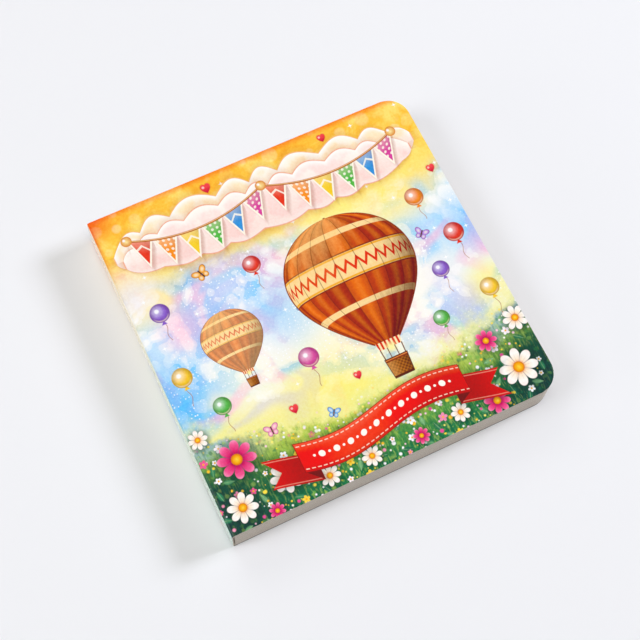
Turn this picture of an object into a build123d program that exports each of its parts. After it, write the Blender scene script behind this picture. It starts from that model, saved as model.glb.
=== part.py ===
from build123d import *
import os

# A square board book, closed and lying on its back cover.
# The origin is at the centre of the base. +X runs from the spine to the fore edge,
# +Y from the tail to the head, and +Z up. All lengths are in millimetres.

# Trimmed size: every board is die-cut flush, with the two fore-edge corners rounded
book_width = 150.0
book_height = 150.0
corner_radius = 10.0

# Boards: each spread is one folded sheet, and the spreads are pasted back to back,
# so a leaf is two sheets thick
leaf_count = 9
sheet_thickness = 0.8
cover_board_thickness = 1.3
wrap_thickness = 0.5

# Covers: the printed wrap turns round the spine in a soft fold, and a narrow flat strip
# is left beside the line on which the cover swings
hinge_strip = 0.4
rim_rounding = 0.2

# Spine: the wrap hangs free behind the folded sheets, as a hollow back, and stands
# just inside the swing of the covers
hollow_gap = 0.5
hinge_clearance = 0.1

# Folded edge of the block, and the fine gaps between the leaves on the other three sides
fold_height = 0.45
leaf_gap = 0.15
leaf_gap_depth = 1.2

# How far a cut runs past the body that it cuts
overrun = 1.0

# Levels, from the base up
leaf_thickness = 2 * sheet_thickness
cover_thickness = cover_board_thickness + wrap_thickness
block_thickness = leaf_count * leaf_thickness
block_top = cover_thickness + block_thickness
book_thickness = block_top + cover_thickness

# Places, from the spine to the fore edge
spine_edge = -book_width / 2
fore_edge = book_width / 2
spine_outside = spine_edge + hinge_clearance
spine_inside = spine_outside + wrap_thickness
fold_crest = spine_inside + hollow_gap
gap_end = fold_crest + sheet_thickness

# Radii: a cover's fold takes what the hinge strip leaves of its thickness, and a sheet's
# fold is the arc through its crest and the valleys on its two sides
cover_fold_radius = cover_thickness - hinge_strip
sheet_fold_radius = (sheet_thickness**2 + fold_height**2) / (2 * fold_height)

# Outline of a die-cut board, square at the spine and rounded at the fore edge
with BuildSketch() as board_outline:
    Rectangle(book_width, book_height)
    fillet(board_outline.vertices().group_by(Axis.X)[-1], radius=corner_radius)

# What the gaps between the leaves leave uncut: the outline drawn in by their depth
with BuildSketch() as uncut_outline:
    with Locations((-leaf_gap_depth / 2, 0)):
        Rectangle(book_width - leaf_gap_depth, book_height - 2 * leaf_gap_depth)
    inner_corners = uncut_outline.vertices().group_by(Axis.X)[-1]
    fillet(inner_corners, radius=corner_radius - leaf_gap_depth)

# Back cover: board and wrap as one panel, with the fold along its spine edge and the
# laminated face drawn slightly over the cut rim
with BuildPart() as back_cover:
    with BuildSketch():
        add(board_outline.sketch)
    extrude(amount=cover_thickness)
    outside = back_cover.faces().sort_by(Axis.Z)[0]
    fillet(outside.edges().sort_by(Axis.X)[0], radius=cover_fold_radius)
    outside = back_cover.faces().sort_by(Axis.Z)[0]
    fillet(outside.edges().sort_by(Axis.X)[-1], radius=rim_rounding)
back_cover.part.label = "back_cover"

# Front cover: the same panel, mirrored about the middle of the book
with BuildPart() as front_cover:
    mirror(back_cover.part, about=Plane.XY.offset(book_thickness / 2))
front_cover.part.label = "front_cover"

# Spine: the stretch of the wrap between the two covers
with BuildPart() as spine:
    with BuildSketch(Plane.XY.offset(cover_thickness)):
        with Locations(((spine_outside + spine_inside) / 2, 0)):
            Rectangle(wrap_thickness, book_height)
    extrude(amount=block_thickness)
spine.part.label = "spine"

# Page block: the section across the folds, drawn from the tail. Every sheet's fold is a
# round that spans one gap between leaves, so the first and the last are half rounds
with BuildPart() as page_block:
    fold_centre = fold_crest + sheet_fold_radius
    block_middle = cover_thickness + block_thickness / 2
    with BuildSketch(Plane.XZ) as folded_section:
        with Locations(((fold_centre + fore_edge) / 2, block_middle)):
            Rectangle(fore_edge - fold_centre, block_thickness)
        with Locations((fold_centre, block_middle)):
            with GridLocations(leaf_thickness, leaf_thickness, 1, leaf_count + 1):
                Circle(sheet_fold_radius)
        with Locations((0, block_middle)):
            Rectangle(book_width, block_thickness, mode=Mode.INTERSECT)
    extrude(amount=book_height / 2, both=True)
    fore_corners = page_block.edges().filter_by(Axis.Z).group_by(Axis.X)[-1]
    fillet(fore_corners, radius=corner_radius)

    # Gaps between the leaves: one thin cut a level, round the tail, fore edge and head,
    # which stops at the folds
    gap_levels = [cover_thickness + n * leaf_thickness - leaf_gap / 2 for n in range(1, leaf_count)]
    with BuildSketch(*[Plane.XY.offset(level) for level in gap_levels]):
        with Locations(((gap_end + fore_edge + overrun) / 2, 0)):
            Rectangle(fore_edge + overrun - gap_end, book_height + 2 * overrun)
        add(uncut_outline.sketch, mode=Mode.SUBTRACT)
    extrude(amount=leaf_gap, mode=Mode.SUBTRACT)
page_block.part.label = "page_block"

os.makedirs("parts", exist_ok=True)
for piece in (back_cover.part, front_cover.part, spine.part, page_block.part):
    export_step(piece, f"parts/{piece.label}.step")
    print(piece.label, "volume", round(piece.volume), "valid", piece.is_valid)
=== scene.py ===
import math

import bmesh
import bpy
from mathutils import Matrix, Vector


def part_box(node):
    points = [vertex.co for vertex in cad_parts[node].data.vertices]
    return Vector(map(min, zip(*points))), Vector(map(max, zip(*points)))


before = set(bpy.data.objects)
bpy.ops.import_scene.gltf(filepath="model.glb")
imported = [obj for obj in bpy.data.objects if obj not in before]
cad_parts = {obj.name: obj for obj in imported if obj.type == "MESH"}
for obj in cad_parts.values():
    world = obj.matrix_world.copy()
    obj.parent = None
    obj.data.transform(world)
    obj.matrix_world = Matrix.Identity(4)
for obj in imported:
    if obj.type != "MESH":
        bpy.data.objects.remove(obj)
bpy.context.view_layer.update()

frontLow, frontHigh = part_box("front_cover")
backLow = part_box("back_cover")[0]
blockLow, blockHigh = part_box("page_block")
bookWidth = frontHigh.x - frontLow.x
bookHeight = frontHigh.y - frontLow.y
bookThickness = frontHigh.z - backLow.z
artSpan = 150  # the print is laid out in 150ths of the book's width
artHalf = artSpan / 2
artUnit = bookWidth / artSpan
print("Book loaded:", [round(side * 1000, 1) for side in (bookWidth, bookHeight, bookThickness)], "mm")


class Wire:
    # One output socket of a node tree. Sums on it add Math nodes.
    def __init__(self, tree, socket=None):
        self.tree = tree
        self.socket = socket

    def node(self, kind, settings=None, values=None, out=0):
        made = self.tree.nodes.new(kind)
        settings = dict(settings or {})
        stops = settings.pop("stops", None)
        steps = settings.pop("steps", "LINEAR")
        for name, setting in settings.items():
            setattr(made, name, setting)
        if stops:
            band = made.color_ramp
            band.interpolation = steps
            band.elements[0].position, band.elements[0].color = stops[0]
            band.elements[1].position, band.elements[1].color = stops[-1]
            for place, colour in stops[1:-1]:
                band.elements.new(place).color = colour
        for key, value in (values or {}).items():
            if isinstance(value, Wire):
                self.tree.links.new(value.socket, made.inputs[key])
            else:
                made.inputs[key].default_value = value
        return Wire(self.tree, made.outputs[out] if len(made.outputs) else None)

    def math(self, operation, *others, clamp=False):
        values = dict(enumerate((self, *others)))
        return self.node("ShaderNodeMath", {"operation": operation, "use_clamp": clamp}, values)

    def flipped(self, operation, other):
        return self.node("ShaderNodeMath", {"operation": operation}, {0: other, 1: self})

    def __add__(self, other):
        return self.math("ADD", other)

    def __radd__(self, other):
        return self.flipped("ADD", other)

    def __sub__(self, other):
        return self.math("SUBTRACT", other)

    def __rsub__(self, other):
        return self.flipped("SUBTRACT", other)

    def __mul__(self, other):
        return self.math("MULTIPLY", other)

    def __rmul__(self, other):
        return self.flipped("MULTIPLY", other)

    def __truediv__(self, other):
        return self.math("DIVIDE", other)

    def __rtruediv__(self, other):
        return self.flipped("DIVIDE", other)

    def __pow__(self, other):
        return self.math("POWER", other)

    def __abs__(self):
        return self.math("ABSOLUTE")

    def vector(self, operation, *others, out=0):
        values = dict(enumerate((self, *others)))
        return self.node("ShaderNodeVectorMath", {"operation": operation}, values, out)

    def scaled(self, factor):
        return self.node("ShaderNodeVectorMath", {"operation": "SCALE"}, {0: self, "Scale": factor})

    def along(self, *axis):
        # a vector's share along one direction
        return self.vector("DOT_PRODUCT", axis, out=1)

    def axes(self):
        return self.along(1, 0, 0), self.along(0, 1, 0)

    def channels(self):
        first = self.node("ShaderNodeSeparateColor", None, {0: self})
        return [Wire(self.tree, socket) for socket in first.socket.node.outputs]


def ink(code):
    # a printed colour, from its screen code to linear light
    levels = [int(code[start:start + 2], 16) / 255 for start in (0, 2, 4)]
    linear = [level / 12.92 if level <= 0.04045 else ((level + 0.055) / 1.055) ** 2.4 for level in levels]
    return (*linear, 1.0)


def over(below, mask, colour, way="MIX"):
    # lays a colour, or a painted layer, over what is below it
    maker = next(item for item in (mask, below, colour) if isinstance(item, Wire))
    settings = {"data_type": "RGBA", "blend_type": way}
    return maker.node("ShaderNodeMix", settings, {0: mask, 6: below, 7: colour}, 2)


def ramp(value, stops, steps="LINEAR"):
    inks = [(place, ink(code)) for place, code in stops]
    return value.node("ShaderNodeValToRGB", {"stops": inks, "steps": steps}, {0: value})


def pick(value, codes):
    # one of a few inks, for a value from 0 to 1
    return ramp(value, [(index / len(codes), code) for index, code in enumerate(codes)], "CONSTANT")


def fade(value, start, end):
    # 0 at start, 1 at end, smooth between them
    values = {0: value, 1: start, 2: end}
    return value.node("ShaderNodeMapRange", {"interpolation_type": "SMOOTHSTEP"}, values)


def inside(depth, soft=0.2):
    # 1 where a shape's depth is above zero, with a soft printed edge
    return depth.math("MULTIPLY_ADD", 1 / soft, 0.5, clamp=True)


def line(distance, halfWidth, soft=0.2):
    return inside(halfWidth - abs(distance), soft)


def smaller(first, second):
    return first.math("MINIMUM", second)


def larger(first, second):
    return first.math("MAXIMUM", second)


def turned(local, angle):
    values = {"Vector": local, "Angle": angle}
    return local.node("ShaderNodeVectorRotate", {"rotation_type": "Z_AXIS"}, values)


def gap(local, x, y):
    # distance from a point near a motif's middle
    return local.vector("DISTANCE", (x, y, 0), out=1)


# How far a pattern's shift moves it along y too, and numbers that scramble the cells of a scatter
shiftSlant = -1.7
gridSlant = 0.37
scramble = {"across": 12.99, "along": 78.23, "first": 743.7, "second": 61.7, "third": 237.1}


class Sheet:
    # The print's own coordinates, from the middle of the cover. Each texture starts from the bare place,
    # through a Mapping node: fed by other vectors, they fill up the shader's stack.
    def __init__(self, tree):
        self.place = Wire(tree).node("ShaderNodeTexCoord", out="Object")
        self.scale = 1 / artUnit
        self.flat = self.place.vector("MULTIPLY", (self.scale, self.scale, 0))
        self.x, self.y = self.flat.axes()

    def height(self):
        return self.place.along(0, 0, self.scale)

    def away(self, x, y):
        return self.flat.vector("DISTANCE", (x, y, 0), out=1)

    def mapped(self, across, along, shift):
        sizes = (self.scale / across, self.scale / along, 0)
        values = {"Vector": self.place, "Scale": sizes, "Location": (shift, shiftSlant * shift, 0)}
        return self.place.node("ShaderNodeMapping", {"vector_type": "POINT"}, values)

    def noise(self, grain, detail=3.0, rough=0.5, shift=0.0, distort=0.0):
        # soft random tones, grain apart, or a tuple of grains along x and y
        across, along = grain if isinstance(grain, tuple) else (grain, grain)
        values = {"Vector": self.mapped(across, along, shift), "Scale": 1.0}
        values.update({"Detail": detail, "Roughness": rough, "Distortion": distort})
        return self.place.node("ShaderNodeTexNoise", {"noise_dimensions": "2D"}, values)


class Dots:
    # Round motifs strewn over the sheet, with the distance from the nearest one and its random numbers
    def __init__(self, sheet, pitch, shift=0.0):
        values = {"Vector": sheet.mapped(pitch, pitch, shift), "Scale": 1.0}
        cell = sheet.place.node("ShaderNodeTexVoronoi", {"voronoi_dimensions": "2D"}, values, "Distance")
        self.first, self.second, self.third = Wire(cell.tree, cell.socket.node.outputs["Color"]).channels()
        self.reach = cell * pitch


class Scatter:
    # Motifs with a direction, one in each cell of a turned grid, moved about inside it
    def __init__(self, sheet, pitch, loose=0.4, shift=0.0, turn=0.5):
        start = (shift, gridSlant * shift, 0)
        grid = turned(sheet.flat, turn).vector("MULTIPLY_ADD", (1 / pitch, 1 / pitch, 0), start)
        seed = grid.vector("FLOOR").along(scramble["across"], scramble["along"], 0)
        self.first = (seed.math("SINE") * scramble["first"]).math("FRACT")
        self.second = (self.first * scramble["second"]).math("FRACT")
        self.third = (self.first * scramble["third"]).math("FRACT")
        jitter = grid.node("ShaderNodeCombineXYZ", None, {0: self.second, 1: self.third})
        middle = jitter.vector("MULTIPLY_ADD", (loose, loose, 0), (0.5 - loose / 2, 0.5 - loose / 2, 0))
        self.local = grid.vector("FRACTION").vector("SUBTRACT", middle).vector("MULTIPLY", (pitch, pitch, 0))
        self.reach = self.local.vector("LENGTH", out=1)


class Spots:
    # A few motifs of one kind at chosen places: x, y, radius, tone. The nearest one is worked out, so that
    # the kind is drawn once. Its local x, y and reach are in radii.
    def __init__(self, sheet, places):
        local = None
        for x, y, size, tone in places:
            own = sheet.flat.vector("MULTIPLY_ADD", (1 / size, 1 / size, 0), (-x / size, -y / size, tone))
            far = sheet.away(x, y) * (1 / size)
            if local is None:
                local, self.reach = own, far
            else:
                nearer = far.math("LESS_THAN", self.reach)
                local = local.vector("ADD", own.vector("SUBTRACT", local).scaled(nearer))
                self.reach = smaller(far, self.reach)
        self.local = local.vector("MULTIPLY", (1, 1, 0))
        self.x, self.y = local.axes()
        self.tone = local.along(0, 0, 1)


print("Shader tools ready")

skySetup = {
    "riseStops": [
        (0.0, "F7EA7C"), (0.24, "FCF0A0"), (0.42, "EFF3EE"), (0.60, "BFE2FC"),
        (0.68, "FBEBAC"), (0.76, "FFE070"), (0.88, "FFCD4E"), (1.0, "FFBE42"),
    ],
    "blue": "74CBFA",
    "deepBlue": "43A7F0",
    "pink": "FDB9D6",
    "lilac": "B4B0F4",
    "cloud": "FFFDF8",
    "glow": "FFF06A",
    # x, y, reach, share, tone
    "softSpots": [
        (30, 30, 34, 0.70, "glow"), (-6, -40, 42, 0.75, "glow"), (70, -22, 16, 0.6, "glow"),
        (-78, -14, 30, 0.85, "sea"), (-56, 14, 17, 0.55, "pink"), (-70, 37, 19, 0.6, "pale"),
        (-14, 4, 24, 0.6, "sea"), (74, 8, 20, 0.6, "sea"), (50, -12, 17, 0.6, "pale"),
        (-36, 22, 20, 0.5, "pale"), (18, 0, 48, 0.75, "halo"), (-42, -14, 22, 0.6, "halo"),
    ],
    "sea": "56BFFA",
    "pale": "F4EEF6",
    "halo": "FFFBE0",
    "headColour": "FFE77E",
    "headDark": "F7A228",
    "cornerColour": "F4511F",
    "roundLight": "FFF3B8",
    "speck": "FFFFFF",
}


def paintSky(sheet, below):
    setup = skySetup
    y = sheet.y
    sky = over(below, 1.0, ramp(y.math("MULTIPLY_ADD", 1 / artSpan, 0.5), setup["riseStops"]))
    low = fade(y, 44, 24)
    broad = sheet.noise(46, 2, 0.45, 7.3, 0.5)
    sky = over(sky, fade(broad, 0.43, 0.56) * low * 0.9, ink(setup["blue"]))
    sky = over(sky, fade(broad, 0.53, 0.68) * low * 0.9, ink(setup["deepBlue"]))
    drift = sheet.noise(31, 2, 0.5, 19.7, 0.6)
    sky = over(sky, fade(drift, 0.50, 0.64) * low * 0.75, ink(setup["pink"]))
    sky = over(sky, fade(drift, 0.44, 0.32) * low * 0.45, ink(setup["lilac"]))
    puffs = Dots(sheet, 7, 2.3)
    billow = sheet.noise(24, 4, 0.55, 11.9, 0.4) - puffs.reach * 0.034
    sky = over(sky, fade(billow, 0.385, 0.405) * low * 0.46, ink(setup["cloud"]))
    sky = over(sky, fade(billow, 0.44, 0.52) * low * 0.78, ink(setup["cloud"]))
    # the warm head, with soft round lights and a redder corner on the spine's side
    high = fade(y, 24, 46)
    mottle = sheet.noise(15, 4, 0.62, 23.1, 0.3)
    sky = over(sky, fade(mottle, 0.46, 0.66) * high * 0.75, ink(setup["headColour"]))
    sky = over(sky, fade(mottle, 0.44, 0.30) * high * 0.5, ink(setup["headDark"]))
    lights = Dots(sheet, 8.5, 9.1)
    lightMask = inside(lights.second * 3.0 + 0.6 - lights.reach, 0.9) * lights.third
    sky = over(sky, lightMask * high * 0.5, ink(setup["roundLight"]))
    for spotX, spotY, reach, share, tone in setup["softSpots"]:
        sky = over(sky, fade(sheet.away(spotX, spotY), reach, 2) * share, ink(setup[tone]))
    specks = Dots(sheet, 1.7, 5.5)
    speckMask = inside(specks.second * 0.42 - 0.10 - specks.reach, 0.25)
    sky = over(sky, speckMask * fade(broad, 0.40, 0.60) * fade(y, 40, 26), ink(setup["speck"]))
    corner = fade(sheet.away(-artHalf, artHalf), 15, 1)
    sky = over(sky, corner * 0.75, ink(setup["cornerColour"]))
    fromEdge = smaller(artHalf - y, (sheet.x + artHalf) * 1.5)
    edgeGlow = fade(fromEdge, 3.4, 0) * fade(y, 40, 66) * 0.60
    return over(sky, edgeGlow, ink(setup["cornerColour"]))


sparkSetup = {"pitch": 15, "colour": "FFFFFF", "size": 1.7}


def paintSparks(sheet, below):
    # four-pointed glints in the open sky
    spark = Scatter(sheet, sparkSetup["pitch"], 0.7, 13.7)
    sparkX, sparkY = turned(spark.local, -0.5).axes()
    star = inside(0.09 - abs(sparkX * sparkY), 0.12) * fade(spark.reach, sparkSetup["size"], 0.2)
    mask = star * fade(sheet.y, -34, -26) * spark.third.math("GREATER_THAN", 0.35)
    return over(below, mask, ink(sparkSetup["colour"]))


bankSetup = {
    "layers": [
        # the middle's y, half width, half height, scallop pitch, scallop height, phase, fill, outline
        (53.5, 71, 10.5, 17, 5.0, 0.9, "FFE9C2", "F6B877"),
        (50.0, 68, 9.5, 13, 3.2, 2.2, "FDE3DC", "EFA98C"),
    ],
    "rim": "FFFDF8",
    "shade": "F3B9AE",
    "shadow": "C9803F",
    "puff": "FFFAF0",
}


def paintBank(sheet, below):
    # a bank of scalloped clouds, one layer before the other
    x, y = sheet.x, sheet.y
    for middle, halfWidth, halfHeight, pitch, bump, phase, fill, outline in bankSetup["layers"]:
        along = x * (math.pi / pitch)
        wander = (x * (1 / 9)).math("SINE") * 0.5 + phase
        share = (1 - (x * (1 / halfWidth)) ** 4).math("SQRT")
        bumps = abs((along + wander).math("SINE")) * bump
        rise = (y - middle) / larger(share, 0.15)
        top = bumps + halfHeight - rise
        lowBumps = abs((along * 0.8 - wander).math("SINE")) * (0.6 * bump)
        depth = top.math("SMOOTH_MIN", lowBumps + halfHeight + rise, 5.0)
        depth = smaller(depth, halfWidth - abs(x))
        shadow = fade(depth, -4.5, 0.5) * 0.28
        painted = over(below, shadow, ink(bankSetup["shadow"]))
        painted = over(painted, inside(depth), ink(outline))
        tone = over(ink(bankSetup["rim"]), fade(depth, 0.4, 4.2), ink(fill))
        puffs = sheet.noise(12, 3, 0.5, phase * 5)
        tone = over(tone, fade(puffs, 0.42, 0.62) * 0.7, ink(bankSetup["puff"]))
        tone = over(tone, fade(top, 2.0, 20.0) * 0.35, ink(bankSetup["shade"]))
        below = over(painted, inside(depth - 0.55, 0.3), tone)
    return below


flagSetup = {
    "swagWidth": 63,
    "lineHeight": 60,
    "sag": 7,
    "flagsInSwag": 6,
    "flagHalfWidth": 4.3,
    "flagHeight": 11.5,
    "inks": ["E6402C", "F7912B", "F6CE36", "57B74A", "3D93D8", "D8489A"],
    "border": "FFF6E4",
    "cord": "B5622A",
    "knobRadius": 2.4,
    "knobTones": [(0, "FFE9A0"), (1, "D9822A")],
    "checkSize": 2.3,
    "shadow": "A8572A",
    "sheen": "FFF2D0",
    "shade": "5A1030",
    "pattern": "FFF8E8",
    "cordLight": "F2C48A",
    "glint": "FFFFFF",
}


def paintFlags(sheet, below):
    # a garland of flags in two swags
    setup = flagSetup
    x, y = sheet.x, sheet.y
    swagWidth = setup["swagWidth"]
    pitch = swagWidth / setup["flagsInSwag"]
    run = (x + swagWidth) * (1 / swagWidth)
    swag = run.math("FRACT") - 0.5
    drop = setup["lineHeight"] - setup["sag"] + swag * swag * (4 * setup["sag"]) - y
    count = run * setup["flagsInSwag"]
    across = (count.math("FRACT") - 0.5) * pitch
    index = count.math("FLOOR")
    within = swagWidth - abs(x)
    slope = setup["flagHalfWidth"] / setup["flagHeight"]

    def flag(sideways, downwards, grow):
        spread = setup["flagHalfWidth"] + grow - downwards * slope
        return smaller(smaller((spread - abs(sideways)) * 0.92, downwards + grow * 0.4), within)

    shadow = fade(flag(across - 0.9, drop - 1.3, 0.7), -1.2, 0.9) * 0.42
    painted = over(below, shadow, ink(setup["shadow"]))
    painted = over(painted, inside(flag(across, drop, 0.75)), ink(setup["border"]))
    depth = flag(across, drop, 0.0)
    cloth = pick((index * (1 / len(setup["inks"])) + 0.01).math("FRACT"), setup["inks"])
    cloth = over(cloth, fade(drop, 7, -1) * 0.30, ink(setup["sheen"]))
    cloth = over(cloth, fade(across, -0.5, 4.5) * 0.22, ink(setup["shade"]))
    # every other flag has dots, and the rest a pale chevron
    odd = (index * 0.5).math("FRACT").math("GREATER_THAN", 0.25)
    dotX = (across * (1 / setup["checkSize"])).math("FRACT") - 0.5
    dotY = (drop * (1 / setup["checkSize"])).math("FRACT") - 0.5
    dots = inside(0.075 - (dotX * dotX + dotY * dotY), 0.05)
    chevron = line(drop - abs(across) * 0.9 - 2.4, 0.55)
    pattern = chevron + odd * (dots - chevron)
    cloth = over(cloth, pattern * 0.8, ink(setup["pattern"]))
    painted = over(painted, inside(depth), cloth)
    painted = over(painted, line(drop, 0.5) * inside(within + 0.5), ink(setup["cord"]))
    painted = over(painted, line(drop + 0.15, 0.16) * inside(within), ink(setup["cordLight"]))
    ends = (-swagWidth, 0, swagWidth)
    knobs = Spots(sheet, [(end, setup["lineHeight"], setup["knobRadius"], 0) for end in ends])
    painted = over(painted, inside(1 - knobs.reach, 0.08), ramp(knobs.reach, setup["knobTones"]))
    glint = fade(gap(knobs.local, -0.3, 0.35), 0.4, 0.1)
    return over(painted, glint * 0.9, ink(setup["glint"]))


balloonSetup = {
    # x and y of the widest place, scale, and 1 for the far one, which is hazier
    "places": [(18, 8, 1.0, 0), (-40, 2, 0.46, 1)],
    "wide": 28.5,
    "crown": 26,
    "drop": 35,
    "taper": 1.36,
    "gores": 9,
    "goreShift": 40.5,
    "bandCurve": 3.2,
    "bandMiddle": -1,
    "bandHalfWidth": 6.3,
    "zigzagDepth": 9,
    "zigzagHalfWidth": 1.15,
    "stripes": [15, -19],
    "stripeHalfWidth": 1.3,
    "inks": ["B63A07", "E86717", "CD4A0C"],
    "bandInks": ["FCD998", "E23C17", "F4AE38"],
    "haze": "FFE3A8",
    "crease": "5A1D08",
    "swell": "F6A552",
    "bandRim": "8A3412",
    "shade": "551404",
    "light": "FFC877",
    "seam": "6E260C",
    "outline": "8C3A14",
}


def paintBalloons(sheet, below):
    # a near and a far hot-air balloon, each with its basket
    setup = balloonSetup
    spot = Spots(sheet, setup["places"])
    offX, offY = spot.x, spot.y
    up = larger(offY * (1 / setup["crown"]), 0.0)
    down = larger(offY * (-setup["taper"] / setup["drop"]), 0.0)
    halfWidth = (1 - up * up).math("SQRT") * down.math("COSINE") * setup["wide"]
    across = offX / larger(halfWidth, 0.01)
    depth = smaller(smaller(halfWidth - abs(offX), offY + setup["drop"]), setup["crown"] - offY)
    bulge = (1 - across * across).math("SQRT")
    gore = across.math("ARCSINE") * (setup["gores"] / math.pi) + setup["goreShift"]
    seam = abs(gore.math("FRACT") - 0.5)
    cloth = pick((gore.math("FLOOR") * (1 / len(setup["inks"])) + 0.01).math("FRACT"), setup["inks"])
    cloth = over(cloth, fade(seam, 0.05, 0.5) * 0.30, ink(setup["crease"]))
    cloth = over(cloth, fade(seam, 0.30, 0.0) * 0.25, ink(setup["swell"]))
    # the wide band and its zigzag, and two narrow stripes
    latitude = offY - bulge * setup["bandCurve"]
    bandCream, bandRed, bandGold = (ink(code) for code in setup["bandInks"])
    fromBand = latitude - setup["bandMiddle"]
    bandHalf = setup["bandHalfWidth"]
    zigzagDepth = setup["zigzagDepth"]
    zigzag = abs((gore * 2).math("FRACT") - 0.5) * zigzagDepth - zigzagDepth / 4
    bandTone = over(bandCream, line(fromBand - zigzag, setup["zigzagHalfWidth"]), bandRed)
    bandTone = over(bandTone, line(abs(fromBand) - bandHalf + 0.9, 0.45), bandGold)
    cloth = over(cloth, line(fromBand, bandHalf), bandTone)
    cloth = over(cloth, line(abs(fromBand) - bandHalf, 0.3), ink(setup["bandRim"]))
    for stripe in setup["stripes"]:
        cloth = over(cloth, line(latitude - stripe, setup["stripeHalfWidth"]), bandCream)
    # rounded light from the upper left, with painted wrinkles
    light = bulge * 0.5 - across * 0.34 + up * 0.42 - down * 0.30
    wrinkles = sheet.noise((2.2, 9), 4, 0.6, 31.3)
    light = light + (wrinkles - 0.5) * 0.34
    cloth = over(cloth, fade(light, 0.42, -0.32) * 0.78, ink(setup["shade"]))
    cloth = over(cloth, fade(light, 0.50, 1.0) * 0.50, ink(setup["light"]))
    cloth = over(cloth, line(seam - 0.5, 0.022, 0.03) * 0.6, ink(setup["seam"]))
    cloth = over(cloth, spot.tone * 0.25, ink(setup["haze"]))
    painted = over(below, inside(depth + 0.45), ink(setup["outline"]))
    painted = over(painted, inside(depth), cloth)
    flame = gap(spot.local, 0, -setup["drop"] - 3.6)
    return paintBasket(offX, offY + setup["drop"], flame, painted)


basketSetup = {
    "mouth": 5.4,
    "ropeLength": 8,
    "halfWidth": 5.0,
    "height": 8.6,
    "skirtHeight": 3.4,
    "flameReach": 3.4,
    "weave": 3.6,
    "reed": "B26A2B",
    "reedDark": "7A4218",
    "skirt": "D93A26",
    "skirtStripe": "FBE3B0",
    "flame": "FFF0A0",
    "rope": "70401C",
    "reedLight": "E9A960",
    "reedShade": "40200C",
    "rim": "8A3A1C",
    "rimLight": "E08A4A",
    "foot": "5E2E12",
    "outline": "4E2810",
}


def paintBasket(offX, offY, flame, below):
    # the flame under the mouth, the ropes and the woven basket, measured down from the mouth
    setup = basketSetup
    drop = 0.0 - offY
    side = abs(offX)
    skirt = smaller(drop, setup["skirtHeight"] - drop)
    skirt = smaller(setup["mouth"] + 0.3 - drop * 0.22 - side, skirt)
    stripe = (offX * 0.55).math("FRACT").math("GREATER_THAN", 0.5)
    painted = over(below, inside(skirt), over(ink(setup["skirt"]), stripe, ink(setup["skirtStripe"])))
    painted = over(painted, fade(flame, setup["flameReach"], 0.3), ink(setup["flame"]))
    ropes = line(side - setup["halfWidth"] + 0.4 - (setup["ropeLength"] - drop) * 0.06, 0.24)
    ropes = larger(ropes, line(side - 1.7, 0.2))
    between = inside(smaller(drop - 3.2, setup["ropeLength"] + 1 - drop))
    painted = over(painted, ropes * between, ink(setup["rope"]))
    low = drop - setup["ropeLength"]
    body = smaller(setup["halfWidth"] - low * 0.09 - side, smaller(low, setup["height"] - low))
    weave = (offX * setup["weave"]).math("SINE") * (low * setup["weave"]).math("SINE")
    reed = over(ink(setup["reed"]), fade(weave, -0.4, 0.5), ink(setup["reedDark"]))
    reed = over(reed, fade(offX, 1.0, -4.5) * 0.45, ink(setup["reedLight"]))
    reed = over(reed, fade(offX, 0.5, 5.0) * 0.45, ink(setup["reedShade"]))
    reed = over(reed, inside(1.3 - low), ink(setup["rim"]))
    reed = over(reed, line(low - 0.45, 0.2), ink(setup["rimLight"]))
    reed = over(reed, line(low - setup["height"] + 0.4, 0.4), ink(setup["foot"]))
    painted = over(painted, inside(body + 0.3), ink(setup["outline"]))
    return over(painted, inside(body), reed)


ballSetup = {
    "places": [
        # x, y, radius, and which of the inks, as a share of the list
        (-63, 24, 4.3, 0.75), (-19, 28, 4.0, 0.05), (-66, -6, 4.4, 0.25), (-15, -20, 4.4, 0.92),
        (-56, -24, 3.9, 0.60), (58, 27, 4.2, 0.45), (66, 5, 4.5, 0.05), (53, -8, 3.8, 0.75),
        (68, -24, 4.2, 0.25), (43, -28, 3.6, 0.60),
    ],
    "inks": ["E2402F", "F6C737", "F28A2C", "59B64E", "8C62C8", "D9559E"],
    "string": "B0704A",
    "shade": "4A1238",
    "glint": "FFFFFF",
    "bounceLight": "FFE6C8",
}


def paintBalls(sheet, below):
    # small party balloons on strings
    spot = Spots(sheet, ballSetup["places"])
    sway = (spot.y * 3.4 + spot.tone * 9).math("SINE") * 0.13
    strand = line(spot.x - sway, 0.035, 0.05) * inside(smaller(spot.y + 3.1, -0.9 - spot.y), 0.1)
    painted = over(below, strand * 0.8, ink(ballSetup["string"]))
    knot = smaller((-0.86 - spot.y) * 0.7 - abs(spot.x), spot.y + 1.28)
    rubber = pick(spot.tone, ballSetup["inks"])
    painted = over(painted, inside(knot, 0.06), rubber)
    lit = over(rubber, fade(spot.reach, 0.45, 1.0) * 0.42, ink(ballSetup["shade"]))
    glow = gap(spot.local, -0.22, 0.28)
    lit = over(lit, fade(glow, 0.9, 0.0) * 0.45, ink(ballSetup["glint"]))
    lit = over(lit, fade(glow, 0.30, 0.14) * 0.85, ink(ballSetup["glint"]))
    bounce = fade(abs((spot.reach - 0.84) * 8), 1.0, 0.0) * fade(spot.y, -0.2, -0.8)
    lit = over(lit, bounce * 0.5, ink(ballSetup["bounceLight"]))
    return over(painted, inside(1 - spot.reach, 0.06), lit)


heartSetup = {
    "places": [
        (-22, 68.5, 2.6, 0), (34, 69.5, 2.2, 0), (-30, -38, 2.2, 0),
        (71, 36, 2.2, 0), (0, -36, 2.0, 0),
    ],
    "top": "F04A4F",
    "tip": "C81F3E",
    "glint": "FFD8D0",
    "shadow": "B0401C",
}


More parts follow.
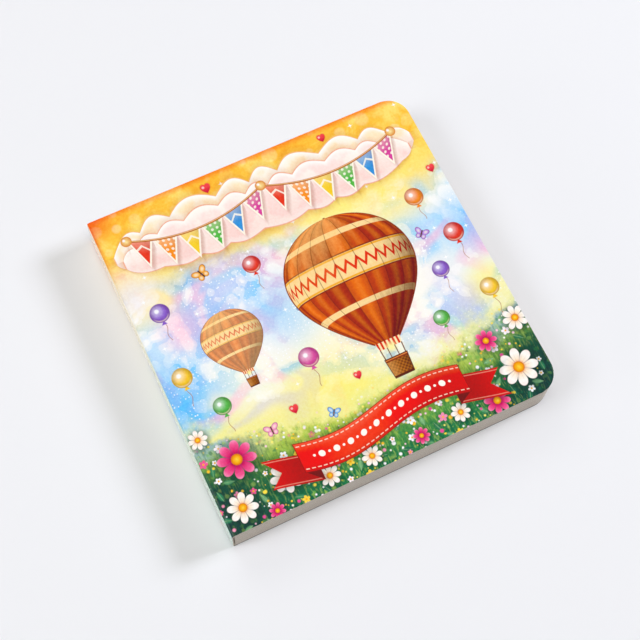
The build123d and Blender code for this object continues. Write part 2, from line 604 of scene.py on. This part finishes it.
def paintHearts(sheet, below):
    spot = Spots(sheet, heartSetup["places"])
    side = abs(spot.x)
    lift = spot.y * 1.08 - side.math("SQRT") * 0.62 + 0.12
    reach = (side * side + lift * lift).math("SQRT")
    tone = over(ink(heartSetup["top"]), fade(spot.y, 0.6, -0.9), ink(heartSetup["tip"]))
    glint = gap(spot.local, -0.38, 0.4)
    tone = over(tone, fade(glint, 0.34, 0.1) * 0.8, ink(heartSetup["glint"]))
    painted = over(below, fade(reach, 1.15, 0.8) * 0.35, ink(heartSetup["shadow"]))
    return over(painted, inside(0.86 - reach, 0.08), tone)


butterflySetup = {
    # x, y, size, and a number from 0 to 4 that picks the ink and turns the motif
    "places": [
        (-40, 33, 3.8, 0.2), (-8, 2, 3.0, 2.6), (-42, -42, 3.2, 1.4),
        (53, 10, 3.2, 3.4), (-16, -46, 2.8, 2.9),
    ],
    "inks": ["F3A93A", "F49AC1", "6FB6EE", "B58BE0"],
    "wingLight": "FFF6DC",
    "wingRim": "8A4A5A",
    "body": "5A3428",
}


def paintButterflies(sheet, below):
    spot = Spots(sheet, butterflySetup["places"])
    local = turned(spot.local, spot.tone * 0.35 - 0.5)
    signedX, signedY = local.axes()
    wingX = abs(signedX)
    mirrored = local.node("ShaderNodeCombineXYZ", None, {0: wingX, 1: signedY})
    upper = turned(mirrored.vector("SUBTRACT", (0.50, 0.34, 0)), -0.7).vector("MULTIPLY", (1.75, 2.6, 0))
    lower = mirrored.vector("SUBTRACT", (0.36, -0.36, 0)).vector("MULTIPLY", (3.0, 2.6, 0))
    reach = smaller(upper.vector("LENGTH", out=1), lower.vector("LENGTH", out=1))
    wing = pick(spot.tone * (1 / len(butterflySetup["inks"])), butterflySetup["inks"])
    wing = over(wing, fade(reach, 0.75, 0.2) * 0.6, ink(butterflySetup["wingLight"]))
    wing = over(wing, fade(reach, 0.72, 0.95) * 0.7, ink(butterflySetup["wingRim"]))
    painted = over(below, inside(1 - reach, 0.12), wing)
    body = smaller(0.075 - wingX, 0.55 - abs(signedY))
    return over(painted, inside(body, 0.06), ink(butterflySetup["body"]))


meadowSetup = {
    "edge": -47,
    "sideRise": 15,
    "edgeWander": 15,
    "depthSpan": 36,
    "depthStops": [(0.0, "D6DC66"), (0.22, "A3BE4E"), (0.48, "5A9A4A"), (0.74, "2F7A4C"), (1.0, "1F5F48")],
    "corner": "1B3A3C",
    "farFlowers": "6FA9EC",
    "mist": "F2EE92",
    "leafInks": ["3F8F63", "63A873", "2F7558", "7FB780"],
    "dabInks": ["24693F", "4F9645", "7DB84F", "ABCF62", "2F7F57", "66A84A", "1B553C", "92C056"],
    "bladeLight": "C6DC6E",
    "bladeDark": "1F5A44",
    "leafShade": "24584A",
    "leafVein": "B9DC9E",
}


def paintMeadow(sheet, below):
    setup = meadowSetup
    side = (sheet.x * (2 / artSpan)) ** 2
    rough = sheet.noise(7, 4, 0.65, 5.2)
    depth = side * setup["sideRise"] + setup["edge"] - sheet.y + (rough - 0.5) * setup["edgeWander"]
    painted = over(below, fade(depth, -13, 2) * 0.85, ink(setup["mist"]))
    ground = ramp(depth * (1 / setup["depthSpan"]), setup["depthStops"])
    # blue flowers far off at both sides, and deep shade in the corners
    ground = over(ground, fade(side, 0.25, 0.75) * fade(depth, 13, 1) * 0.65, ink(setup["farFlowers"]))
    shade = fade(side, 0.22, 0.80) * fade(depth, 4, 24)
    ground = over(ground, shade * 0.9, ink(setup["corner"]))
    blades = sheet.noise((1.0, 4.2), 2, 0.6, 8.8)
    ground = over(ground, fade(blades, 0.52, 0.70) * (0.34 - shade * 0.26), ink(setup["bladeLight"]))
    ground = over(ground, fade(blades, 0.48, 0.32) * 0.34, ink(setup["bladeDark"]))
    dabs = Dots(sheet, 1.9, 4.1)
    dabMask = inside(dabs.second * 1.0 - dabs.reach, 0.7) * fade(dabs.third, 0.35, 0.6)
    ground = over(ground, dabMask * (0.6 - shade * 0.35), pick(dabs.first, setup["dabInks"]))
    leaves = Scatter(sheet, 7.2, 0.25, 17.3, 0.9)
    leafX, leafY = turned(leaves.local, leaves.first * (2 * math.pi)).axes()
    leaf = 1 - abs(leafY) * (1.0 + leafX * 0.15) - leafX * leafX * 0.165
    leafTone = pick(leaves.second, setup["leafInks"])
    leafTone = over(leafTone, fade(leaf, 0.55, 0.0) * 0.45, ink(setup["leafShade"]))
    leafTone = over(leafTone, line(leafY, 0.10, 0.3) * 0.5, ink(setup["leafVein"]))
    leafMask = inside(leaf * 0.7, 0.3) * fade(depth, 7, 14) * leaves.third.math("GREATER_THAN", 0.3)
    ground = over(ground, leafMask * 0.85, leafTone)
    painted = over(painted, fade(depth, -1.5, 4.5), ground)
    return paintSprinkles(sheet, depth, 1 - shade * 0.7, painted)


sprinkleSetup = {
    # pitch, smallest and extra radius, depth below the meadow's edge where it starts and is full, share, inks
    "dots": [
        (1.9, 0.18, 0.38, -9, 6, 0.26, ["FFF27A", "FFFDF0", "FFE24A", "FFD0E0", "FFFFFF", "FFC93C"]),
        (3.8, 0.40, 0.50, -3, 9, 0.36, ["FFE34F", "FFFFFF", "F79AB8", "FFC73A", "FFFFFF", "E8559A"]),
    ],
    "bloomPitch": 6.6,
    "bloomInks": ["FFFFFF", "FFF4F8", "F25C94", "FFFFFF", "FFD84A", "F58FB4"],
    "petalShade": "9A8AA8",
    "shadow": "1E5038",
    "middle": "FFB726",
}


def paintSprinkles(sheet, depth, plenty, below):
    # dots and little blooms, denser down in the meadow
    for pitch, least, more, start, full, share, inks in sprinkleSetup["dots"]:
        dots = Dots(sheet, pitch, pitch * 7)
        kept = dots.third.math("LESS_THAN", share * plenty)
        mask = inside(dots.second * more + least - dots.reach, 0.4) * kept
        below = over(below, mask * fade(depth, start, full), pick(dots.first, inks))
    bloom = Scatter(sheet, sprinkleSetup["bloomPitch"], 0.4, 3.3, 0.3)
    bloomX, bloomY = bloom.local.axes()
    wave = abs((bloomY.math("ARCTAN2", bloomX) * 2.5 + bloom.first * 6).math("COSINE"))
    size = bloom.second * 0.9 + 1.0
    rim = (wave * 0.42 + 0.62) * size - bloom.reach
    shown = fade(depth, 2, 8) * bloom.third.math("GREATER_THAN", 0.50)
    petals = pick(bloom.first, sprinkleSetup["bloomInks"])
    petals = over(petals, fade(wave, 0.45, 0.0) * 0.35, ink(sprinkleSetup["petalShade"]))
    below = over(below, fade(bloom.reach, 2.6, 1.0) * shown * 0.35, ink(sprinkleSetup["shadow"]))
    below = over(below, inside(rim, 0.25) * shown, petals)
    return over(below, inside(0.42 - bloom.reach, 0.25) * shown, ink(sprinkleSetup["middle"]))


flowerSetup = {
    # x, y, radius, turn. A turn above 5 is a pink flower.
    "places": [
        (-60, -47, 8.2, 10.3), (-45, -62, 6.8, 0.4), (-66, -66, 6.4, 1.1), (-71, -33, 4.2, 0.2),
        (-29, -69, 4.6, 0.9), (-54, -73, 3.4, 11.2), (62, -61, 8.4, 0.7), (47, -70, 5.6, 10.8),
        (71, -41, 5.6, 0.1), (55, -45, 4.8, 10.1), (31, -68, 4.2, 0.6), (12, -70, 3.6, 10.6),
        (-10, -69, 4.4, 0.3),
    ],
    "petals": 8,
    "middleRadius": 0.29,
    "seedGrain": 9.3,
    "white": [(0.24, "F0AE6A"), (0.42, "FFE9CE"), (0.75, "FFFBF4"), (1.0, "FBE9E2")],
    "pink": [(0.22, "9C0F45"), (0.45, "DE2F70"), (0.8, "F25C93"), (1.0, "FA93B8")],
    "middle": [(0.0, "FFE04A"), (0.6, "FBAF22"), (1.0, "D9720E")],
    "shadow": "173834",
    "petalShade": "6A4A78",
    "vein": "8A5A88",
    "seed": "C8700E",
}


def paintFlowers(sheet, below):
    setup = flowerSetup
    spot = Spots(sheet, setup["places"])
    angle = spot.y.math("ARCTAN2", spot.x)
    wave = abs((angle * (setup["petals"] / 2) + spot.tone).math("COSINE"))
    rim = wave ** 0.55 * 0.52 + 0.48
    shade = fade(gap(spot.local, 0.06, -0.10), 1.45, 0.75)
    painted = over(below, shade * 0.6, ink(setup["shadow"]))
    pink = spot.tone.math("GREATER_THAN", 5)
    petals = over(ramp(spot.reach, setup["white"]), pink, ramp(spot.reach, setup["pink"]))
    petals = over(petals, fade(wave, 0.42, 0.0) * 0.40, ink(setup["petalShade"]))
    veins = (angle * (setup["petals"] * 2.5) + spot.tone * 3).math("COSINE")
    petals = over(petals, fade(veins, 0.2, 1.0) * fade(spot.reach, 0.9, 0.4) * 0.14, ink(setup["vein"]))
    painted = over(painted, inside(rim - spot.reach, 0.04), petals)
    seeds = (sheet.x * setup["seedGrain"]).math("SINE") * (sheet.y * setup["seedGrain"]).math("SINE")
    middle = ramp(spot.reach * (1 / setup["middleRadius"]), setup["middle"])
    middle = over(middle, fade(seeds, 0.1, 0.6) * 0.4, ink(setup["seed"]))
    return over(painted, inside(setup["middleRadius"] - spot.reach, 0.04), middle)


ribbonSetup = {
    "middle": -56.5,
    "x": 1,
    "wave": 3.4,
    "waveLength": 84,
    "halfLength": 38,
    "halfWidth": 6.3,
    "tailReach": 53,
    "tailNotch": 6,
    "foldBack": 6,
    "tailDrop": 4.6,
    "red": "EE220C",
    "darkRed": "B30E07",
    "foldRed": "740A08",
    "stitchPitch": 2.4,
    "dotPitch": 6.4,
    "bigDot": 1.35,
    "smallDot": 0.55,
    "dotsReach": 33.2,
    "shadow": "14382A",
    "tailPiping": "F3A08C",
    "crest": "F5553A",
    "upperLight": "FF8A68",
    "lowerShade": "8E120D",
    "stitch": "FFE3CC",
    "dot": "FFF9EE",
    "outline": "9C150E",
}


def paintRibbon(sheet, below):
    # a waving ribbon, its two tails folded behind it
    setup = ribbonSetup
    offX = sheet.x - setup["x"]
    side = abs(offX)
    phase = offX * (2 * math.pi / setup["waveLength"])
    up = sheet.y - setup["middle"] - phase.math("SINE") * setup["wave"]
    halfWidth = setup["halfWidth"]
    band = smaller(halfWidth - abs(up), setup["halfLength"] - side)
    tailUp = abs(up + setup["tailDrop"])
    notch = tailUp * (setup["tailNotch"] / halfWidth) + setup["tailReach"] - setup["tailNotch"] - side
    inner = side - (setup["halfLength"] - setup["foldBack"])
    tail = smaller(smaller(halfWidth - tailUp, notch * 0.7), inner)
    whole = larger(band, tail)
    painted = over(below, fade(whole, -3.4, 1.0) * 0.45, ink(setup["shadow"]))
    outwards = fade(side, setup["halfLength"], setup["tailReach"])
    tailTone = over(ink(setup["darkRed"]), outwards * 0.55, ink(setup["red"]))
    tailTone = over(tailTone, line(tailUp - halfWidth + 0.9, 0.22) * 0.6, ink(setup["tailPiping"]))
    painted = over(painted, inside(tail), tailTone)
    low = -halfWidth - up
    fold = smaller((setup["halfLength"] - side) * (setup["tailDrop"] / setup["foldBack"]) - low, inner)
    painted = over(painted, inside(smaller(fold, low + 0.4)), ink(setup["foldRed"]))
    # the front band: lit on its crest, darker where it dips, with a stitched rim and a row of dots
    swell = (phase + 0.9).math("COSINE")
    cloth = over(ink(setup["red"]), fade(swell, 0.1, 1.0) * 0.5, ink(setup["crest"]))
    cloth = over(cloth, fade(swell, -0.2, -1.0) * 0.45, ink(setup["darkRed"]))
    cloth = over(cloth, fade(up, 1.5, halfWidth) * 0.30, ink(setup["upperLight"]))
    cloth = over(cloth, fade(up, -3.0, -halfWidth) * 0.35, ink(setup["lowerShade"]))
    dash = (offX * (1 / setup["stitchPitch"])).math("FRACT").math("GREATER_THAN", 0.38)
    cloth = over(cloth, line(abs(up) - halfWidth + 1.25, 0.22) * dash * 0.85, ink(setup["stitch"]))
    pitch = setup["dotPitch"]
    beadX = ((offX * (1 / pitch)).math("FRACT") - 0.5) * pitch
    bigDot = inside(setup["bigDot"] - (beadX * beadX + up * up).math("SQRT"))
    smallX = pitch / 2 - abs(beadX)
    smallDot = inside(setup["smallDot"] - (smallX * smallX + up * up).math("SQRT"))
    cloth = over(cloth, larger(bigDot, smallDot) * inside(setup["dotsReach"] - side), ink(setup["dot"]))
    painted = over(painted, inside(band + 0.3), ink(setup["outline"]))
    return over(painted, inside(band), cloth)


def makeMaterial(name):
    material = bpy.data.materials.new(name)
    material.use_nodes = True
    tree = material.node_tree
    tree.nodes.clear()
    return material, tree


def finishMaterial(tree, values):
    # the shader and the output, with what is the same all over set on the shader's own sockets
    shader = Wire(tree).node("ShaderNodeBsdfPrincipled", None, values)
    shader.node("ShaderNodeOutputMaterial", None, {0: shader})


def giveMaterial(node, material):
    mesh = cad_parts[node].data
    mesh.materials.clear()
    mesh.materials.append(material)


spineSetup = {
    "stops": [
        (0.0, "B4E0D2"), (0.22, "CDE7CE"), (0.45, "E6F2C6"),
        (0.65, "F8EBC0"), (0.85, "FFE8BC"), (1.0, "FFE3BC"),
    ],
    "pale": "EFEDE8",
    "paleShare": 0.55,
    "foldStart": 0.8,
    "foldReach": 5.0,
}


def paintSpine(sheet):
    # the print turns to a plain gradient round the spine, palest in the middle of it
    setup = spineSetup
    tone = ramp(sheet.y.math("MULTIPLY_ADD", 1 / artSpan, 0.5), setup["stops"])
    half = bookThickness / artUnit / 2
    fromMiddle = abs(sheet.height() - (backLow.z / artUnit + half))
    middle = fade(fromMiddle, half - setup["foldStart"], half - setup["foldReach"])
    return over(tone, middle * setup["paleShare"], ink(setup["pale"]))


boardSetup = {
    "core": "C8BCAF",
    "coreDark": "A39A90",
    "coreLight": "DCD5CC",
    "liner": "E6E1D9",
    "glue": "857B70",
    "paper": "F5F2EB",
    "leafCount": 9,
    "linerThickness": 0.16,
    "fibre": (4.0, 0.22),
    # ink and height of the painted contact shade along the edge that rests on the floor
    "restShade": "6E6661",
    "restEdgeHeight": 1.5,
    "paperMottle": "EFEBE3",
}


def paintCutBoard(sheet):
    # grey board cut by a blade: short fibres lying flat in it
    along, across = boardSetup["fibre"]
    sizes = (sheet.scale / along, sheet.scale / along, sheet.scale / across)
    values = {"Vector": sheet.place, "Scale": sizes}
    moved = sheet.place.node("ShaderNodeMapping", {"vector_type": "POINT"}, values)
    fibres = sheet.place.node("ShaderNodeTexNoise", None, {"Vector": moved, "Scale": 1.0, "Detail": 4.0})
    core = over(ink(boardSetup["core"]), fade(fibres, 0.48, 0.28) * 0.18, ink(boardSetup["coreDark"]))
    return over(core, fade(fibres, 0.52, 0.72) * 0.18, ink(boardSetup["coreLight"])), fibres


def paintPaper(sheet):
    # white coated board with a faint mottle
    mottle = sheet.noise(14, 4, 0.6, 3.7)
    return over(ink(boardSetup["paper"]), fade(mottle, 0.35, 0.70) * 0.25, ink(boardSetup["paperMottle"]))


layerGroups = {}


def layered(tree, painters, colour):
    # lays painted layers over a colour. Each has a node group of its own, which keeps the script quick.
    for painter in painters:
        if painter not in layerGroups:
            group = bpy.data.node_groups.new(painter.__name__, "ShaderNodeTree")
            group.interface.new_socket("Below", in_out="INPUT", socket_type="NodeSocketColor")
            group.interface.new_socket("Print", in_out="OUTPUT", socket_type="NodeSocketColor")
            below = Wire(group).node("NodeGroupInput")
            below.node("NodeGroupOutput", None, {0: painter(Sheet(group), below)})
            layerGroups[painter] = group
        colour = Wire(tree).node("ShaderNodeGroup", {"node_tree": layerGroups[painter]}, {0: colour})
    return colour


laminateSetup = {
    "roughness": 0.24,
    "specular": 0.22,
    "contrast": 0.04,
    "smudge": 0.10,
    "cutRoughness": 0.62,
    "paperRoughness": 0.45,
    "wear": "F6F1E8",
    "wearShare": 0.55,
    "grain": 0.50,
    "grainTones": [(0.30, "9A9A9A"), (0.70, "D8D8D8")],
    "cutRelief": 0.3,
    "bumpHeight": 0.00003,
}


def makeBump(sheet, height, strength):
    values = {"Height": height, "Strength": strength, "Distance": laminateSetup["bumpHeight"]}
    return sheet.place.node("ShaderNodeBump", None, values)


def makeCover(node, name, side, painters):
    # side is 1 where the print looks up, -1 where it looks down
    setup = laminateSetup
    material, tree = makeMaterial(name)
    sheet = Sheet(tree)
    facing = Wire(tree).node("ShaderNodeTexCoord", out="Normal")
    outward = facing.along(0, 0, side)
    spineward = facing.along(-1, 0, 0)
    cut = fade(larger(outward, spineward), 0.32, 0.18)
    inner = fade(outward, -0.4, -0.6)
    picture = layered(tree, painters, ink("FFFFFF"))
    grain = sheet.noise(1.3, 3, 0.7, 71.3)
    picture = over(picture, setup["grain"], ramp(grain, setup["grainTones"]), "SOFT_LIGHT")
    picture = picture.node("ShaderNodeBrightContrast", None, {0: picture, "Contrast": setup["contrast"]})
    aroundSpine = fade(spineward, 0.80, 0.97)
    picture = over(picture, aroundSpine, paintSpine(sheet))
    # the film is rubbed paler along the rim, and in a few short places more
    rub = sheet.noise(3.5, 4, 0.7, 41.3)
    rim = fade(outward, 0.97, 0.75) * fade(rub, 0.42, 0.68) * fade(spineward, 0.3, 0.1)
    picture = over(picture, rim * setup["wearShare"], ink(setup["wear"]))
    board, fibres = paintCutBoard(sheet)
    if side < 0:
        # painted contact shade: the edge that the book rests on is darkened, standing in for the shadow in
        # the gap between it and the floor
        lift = sheet.height() - backLow.z / artUnit
        contactShade = fade(lift, boardSetup["restEdgeHeight"] * 1.3, boardSetup["restEdgeHeight"] * 0.6)
        board = over(board, contactShade * 0.9, ink(boardSetup["restShade"]))
    colour = over(picture, cut, board)
    colour = over(colour, inner, paintPaper(sheet))
    smudge = sheet.noise(18, 4, 0.6, 51.7)
    roughness = smudge * setup["smudge"] + (setup["roughness"] - setup["smudge"] / 2)
    roughness = roughness + cut * (setup["cutRoughness"] - setup["roughness"])
    roughness = roughness + inner * (setup["paperRoughness"] - setup["cutRoughness"])
    peel = sheet.noise(0.9, 2, 0.5, 61.9) * fade(spineward, 0.3, 0.1)
    relief = peel * 0.25 + cut * fibres * setup["cutRelief"]
    values = {"Base Color": colour, "Roughness": roughness, "Specular IOR Level": setup["specular"]}
    values["Normal"] = makeBump(sheet, relief, 0.6)
    finishMaterial(tree, values)
    giveMaterial(node, material)


def makeSpine():
    setup = laminateSetup
    material, tree = makeMaterial("printedSpine")
    sheet = Sheet(tree)
    facing = Wire(tree).node("ShaderNodeTexCoord", out="Normal")
    printed = fade(facing.along(-1, 0, 0), 0.3, 0.6)
    board, fibres = paintCutBoard(sheet)
    colour = over(board, printed, paintSpine(sheet))
    roughness = printed * (setup["roughness"] - setup["cutRoughness"]) + setup["cutRoughness"]
    relief = (1 - printed) * fibres * setup["cutRelief"]
    values = {"Base Color": colour, "Roughness": roughness, "Specular IOR Level": setup["specular"]}
    values["Normal"] = makeBump(sheet, relief, 0.6)
    finishMaterial(tree, values)
    giveMaterial("spine", material)


def makeLeaves():
    # the cut edges show each leaf: two sheets of grey board with white liners and a line of glue between
    setup = boardSetup
    material, tree = makeMaterial("boardLeaves")
    sheet = Sheet(tree)
    facing = Wire(tree).node("ShaderNodeTexCoord", out="Normal")
    page = fade(abs(facing.along(0, 0, 1)), 0.5, 0.8)
    board, fibres = paintCutBoard(sheet)
    leafThickness = (blockHigh.z - blockLow.z) / artUnit / setup["leafCount"]
    rise = (sheet.height() - blockLow.z / artUnit) * (1 / leafThickness)
    fromMiddle = abs(rise.math("FRACT") - 0.5) * leafThickness
    linerStart = leafThickness / 2 - setup["linerThickness"]
    liner = fade(fromMiddle, linerStart, linerStart + 0.1)
    glue = fade(fromMiddle, 0.10, 0.03)
    # each leaf was cut a little cleaner or duller than the next
    leafTone = ((rise.math("FLOOR") * 7.31).math("SINE") * 5.3).math("FRACT")
    colour = over(board, leafTone * 0.22, ink(setup["coreDark"]))
    colour = over(colour, liner * 0.75, ink(setup["liner"]))
    colour = over(colour, glue * 0.5, ink(setup["glue"]))
    colour = over(colour, page, paintPaper(sheet))
    finish = laminateSetup
    roughness = page * (finish["paperRoughness"] - finish["cutRoughness"]) + finish["cutRoughness"]
    relief = (1 - page) * fibres * finish["cutRelief"] - glue * 0.5 + liner * 0.3
    values = {"Base Color": colour, "Roughness": roughness, "Specular IOR Level": finish["specular"]}
    values["Normal"] = makeBump(sheet, relief, 0.8)
    finishMaterial(tree, values)
    giveMaterial("page_block", material)


frontLayers = [
    paintSky, paintSparks, paintBank, paintFlags, paintMeadow, paintFlowers,
    paintBalls, paintHearts, paintButterflies, paintRibbon, paintBalloons,
]
makeCover("front_cover", "printedFrontCover", 1, frontLayers)
makeCover("back_cover", "printedBackCover", -1, [paintSky, paintMeadow])
makeSpine()
makeLeaves()
print("Print, board and leaves finished")

# Camera, fitted to the corners of the cover in the picture
cameraSetup = {
    "pictureWidth": 640,
    "focalPixels": 1384.9,
    "sensorWidth": 36,
    "placeShares": (-0.6945, -1.2406, 3.7331),
    "lookShares": (0.1735, 0.3087, -0.9352),
    "rightShares": (0.9007, -0.4338, 0.0239),
    "nearShare": 0.1,
    "farShare": 100,
}


def makeCamera():
    setup = cameraSetup
    data = bpy.data.cameras.new("Camera")
    data.sensor_width = setup["sensorWidth"]
    data.lens = setup["focalPixels"] / setup["pictureWidth"] * setup["sensorWidth"]
    camera = bpy.data.objects.new("Camera", data)
    look = Vector(setup["lookShares"]).normalized()
    right = Vector(setup["rightShares"])
    right = (right - look * right.dot(look)).normalized()
    up = right.cross(look)
    turn = Matrix((right, up, -look)).transposed().to_4x4()
    camera.matrix_world = Matrix.Translation(Vector(setup["placeShares"]) * bookWidth) @ turn
    data.clip_start = bookWidth * setup["nearShare"]
    data.clip_end = bookWidth * setup["farShare"]
    bpy.context.collection.objects.link(camera)
    bpy.context.scene.camera = camera


# Sizes and reaches in metres
floorSetup = {
    "size": 4.0,
    "colour": "F2F2F4",
    "roughness": 0.9,
    "specular": 0.0,
    "fadeStart": 0.36,
    "fadeEnd": 0.80,
}


def makeFloor():
    setup = floorSetup
    mesh = bpy.data.meshes.new("floor")
    shape = bmesh.new()
    bmesh.ops.create_grid(shape, x_segments=1, y_segments=1, size=setup["size"] / 2)
    bmesh.ops.translate(shape, verts=shape.verts, vec=(0, 0, backLow.z))
    shape.to_mesh(mesh)
    shape.free()
    floor = bpy.data.objects.new("floor", mesh)
    bpy.context.collection.objects.link(floor)
    # far off, the floor melts into the pale backdrop
    material, tree = makeMaterial("paleFloor")
    values = {"Base Color": ink(setup["colour"]), "Roughness": setup["roughness"]}
    values["Specular IOR Level"] = setup["specular"]
    matt = Wire(tree).node("ShaderNodeBsdfPrincipled", None, values)
    clear = Wire(tree).node("ShaderNodeBsdfTransparent")
    away = Wire(tree).node("ShaderNodeTexCoord", out="Object").vector("LENGTH", out=1)
    blend = fade(away, setup["fadeStart"], setup["fadeEnd"])
    mixed = matt.node("ShaderNodeMixShader", None, {0: blend, 1: matt, 2: clear})
    mixed.node("ShaderNodeOutputMaterial", None, {0: mixed})
    mesh.materials.append(material)


lightSetup = {
    "worldStrength": 0.29,
    "worldColour": "FFFEFB",
    "backdropStrength": 0.93,
    "backdropColour": "FCFDFF",
    # place in metres, width, power, colour
    "lamps": {
        "overhead": ((-0.35, -0.50, 2.40), 1.6, 10.4, "FFFDF0"),
        "behind": ((-0.20, 1.50, 1.35), 1.0, 5.0, "FFFEFB"),
        "key": ((1.68, -0.11, 1.17), 0.66, 24.5, "F1F4FF"),
        "fill": ((-1.22, 0.20, 1.30), 0.85, 9.0, "F5F7FF"),
        "card": ((-1.90, 0.00, 0.35), 0.8, 5.0, "FFFEFB"),
    },
}


def makeLamp(name, place, width, power, colour):
    data = bpy.data.lights.new(name, "AREA")
    data.shape = "DISK"
    data.size = width
    data.energy = power
    data.color = ink(colour)[:3]
    lamp = bpy.data.objects.new(name, data)
    lamp.location = place
    lamp.rotation_euler = (-Vector(place)).to_track_quat("-Z", "Y").to_euler()
    lamp.visible_camera = False
    bpy.context.collection.objects.link(lamp)


def makeLight():
    # the world is a pale backdrop to the eye and in reflections, and a weaker light on the book
    setup = lightSetup
    world = bpy.data.worlds.new("studio")
    world.use_nodes = True
    world.node_tree.nodes.clear()
    rays = Wire(world.node_tree).node("ShaderNodeLightPath").socket.node.outputs
    kinds = ("Is Camera Ray", "Is Glossy Ray", "Is Transmission Ray")
    seen, mirrored, through = (Wire(world.node_tree, rays[kind]) for kind in kinds)
    shown = larger(larger(seen, mirrored), through)
    strength = shown * (setup["backdropStrength"] - setup["worldStrength"]) + setup["worldStrength"]
    tint = over(ink(setup["worldColour"]), shown, ink(setup["backdropColour"]))
    sky = shown.node("ShaderNodeBackground", None, {"Color": tint, "Strength": strength})
    sky.node("ShaderNodeOutputWorld", None, {0: sky})
    bpy.context.scene.world = world
    for name, lamp in setup["lamps"].items():
        makeLamp(name, *lamp)


makeCamera()
makeFloor()
makeLight()
bpy.context.scene.view_settings.view_transform = "Standard"
print("Camera, floor and light in place")
